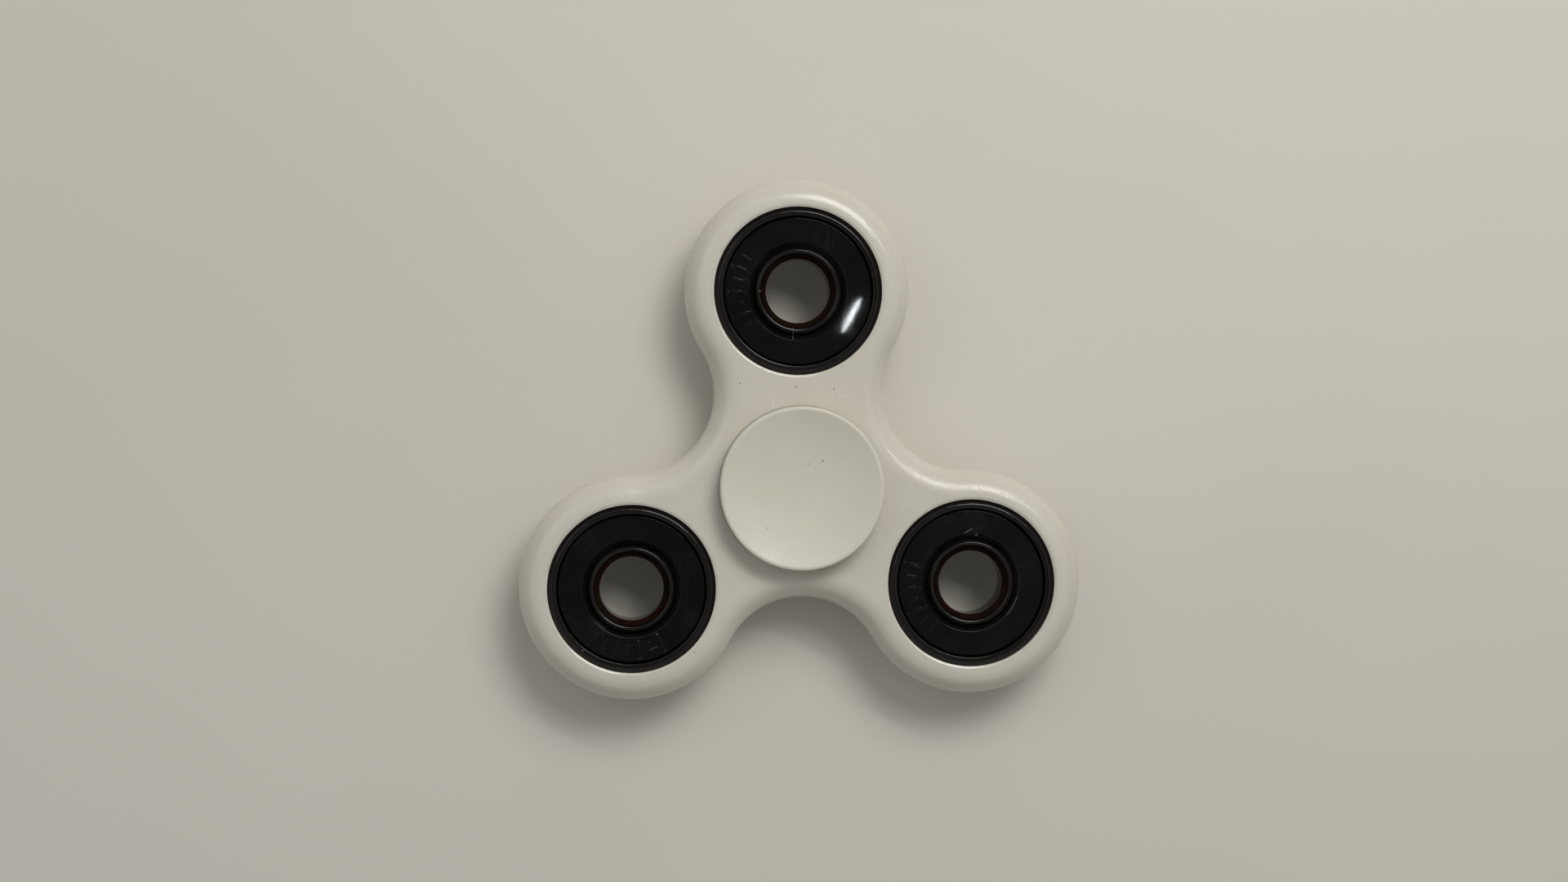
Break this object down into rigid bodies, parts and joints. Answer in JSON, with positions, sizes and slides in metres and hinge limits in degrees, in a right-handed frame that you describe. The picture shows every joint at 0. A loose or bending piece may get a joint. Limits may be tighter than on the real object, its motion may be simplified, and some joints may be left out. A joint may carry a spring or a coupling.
{
  "type": "fidget spinner",
  "caption": "Palm-sized spinner: a three-lobed plastic frame turns on a small ball bearing between two dished finger caps, with black ring weights in its lobes.",
  "frame": {"origin": "centre of the bearing, on the spin axis at mid thickness", "axes": "+Z along the spin axis out through the front cap; +Y from the spin axis to the centre of the first weight"},
  "size_m": [0.0742, 0.0683, 0.013],
  "materials": {
    "frame_plastic": "warm white moulded ABS, satin gloss, with faint scuffs and specks",
    "cap_plastic": "off-white moulded ABS, a little duller than the frame",
    "weight_plastic": "polished black plastic with fine scratches",
    "lid_plastic": "glossy black plastic with fine scratches and dust",
    "weight_steel": "turned and zinc plated",
    "bearing_steel": "ground bearing steel",
    "shield_steel": "pressed sheet steel",
    "cage_steel": "pressed sheet steel",
    "ball_steel": "polished bearing balls"
  },
  "bodies": {
    "hub": {"front_cap": "cap_plastic", "rear_cap": "cap_plastic", "bearing_inner_race": "bearing_steel"},
    "rotor": {"frame": "frame_plastic", "weight_cup_1": "weight_plastic", "weight_cup_2": "weight_plastic", "weight_cup_3": "weight_plastic", "weight_lid_1": "lid_plastic", "weight_lid_2": "lid_plastic", "weight_lid_3": "lid_plastic", "weight_ring_1": "weight_steel", "weight_ring_2": "weight_steel", "weight_ring_3": "weight_steel", "bearing_outer_race": "bearing_steel", "bearing_front_shield": "shield_steel", "bearing_rear_shield": "shield_steel"},
    "cage": {"bearing_cage": "cage_steel"},
    "ball_1": {"ball_1": "ball_steel"},
    "ball_2": {"ball_2": "ball_steel"},
    "ball_3": {"ball_3": "ball_steel"},
    "ball_4": {"ball_4": "ball_steel"},
    "ball_5": {"ball_5": "ball_steel"},
    "ball_6": {"ball_6": "ball_steel"},
    "ball_7": {"ball_7": "ball_steel"}
  },
  "joints": [
    {"name": "spin", "type": "hinge", "parent": "hub", "child": "rotor", "pos_m": [0, 0, 0], "axis": [0, 0, 1], "continuous": true},
    {"name": "cage_spin", "type": "hinge", "parent": "hub", "child": "cage", "pos_m": [0, 0, 0], "axis": [0, 0, 1], "continuous": true},
    {"name": "ball_spin_1", "type": "hinge", "parent": "cage", "child": "ball_1", "pos_m": [0, 0.00675, 0], "axis": [0, 0, 1], "continuous": true},
    {"name": "ball_spin_2", "type": "hinge", "parent": "cage", "child": "ball_2", "pos_m": [-0.00528, 0.00421, 0], "axis": [0, 0, 1], "continuous": true},
    {"name": "ball_spin_3", "type": "hinge", "parent": "cage", "child": "ball_3", "pos_m": [-0.00658, -0.0015, 0], "axis": [0, 0, 1], "continuous": true},
    {"name": "ball_spin_4", "type": "hinge", "parent": "cage", "child": "ball_4", "pos_m": [-0.00293, -0.00608, 0], "axis": [0, 0, 1], "continuous": true},
    {"name": "ball_spin_5", "type": "hinge", "parent": "cage", "child": "ball_5", "pos_m": [0.00293, -0.00608, 0], "axis": [0, 0, 1], "continuous": true},
    {"name": "ball_spin_6", "type": "hinge", "parent": "cage", "child": "ball_6", "pos_m": [0.00658, -0.0015, 0], "axis": [0, 0, 1], "continuous": true},
    {"name": "ball_spin_7", "type": "hinge", "parent": "cage", "child": "ball_7", "pos_m": [0.00528, 0.00421, 0], "axis": [0, 0, 1], "continuous": true}
  ],
  "couplings": [
    {"joint": "cage_spin", "follows": "spin", "ratio": 0.61759},
    {"joint": "ball_spin_1", "follows": "spin", "ratio": 2.0084},
    {"joint": "ball_spin_2", "follows": "spin", "ratio": 2.0084},
    {"joint": "ball_spin_3", "follows": "spin", "ratio": 2.0084},
    {"joint": "ball_spin_4", "follows": "spin", "ratio": 2.0084},
    {"joint": "ball_spin_5", "follows": "spin", "ratio": 2.0084},
    {"joint": "ball_spin_6", "follows": "spin", "ratio": 2.0084},
    {"joint": "ball_spin_7", "follows": "spin", "ratio": 2.0084}
  ]
}
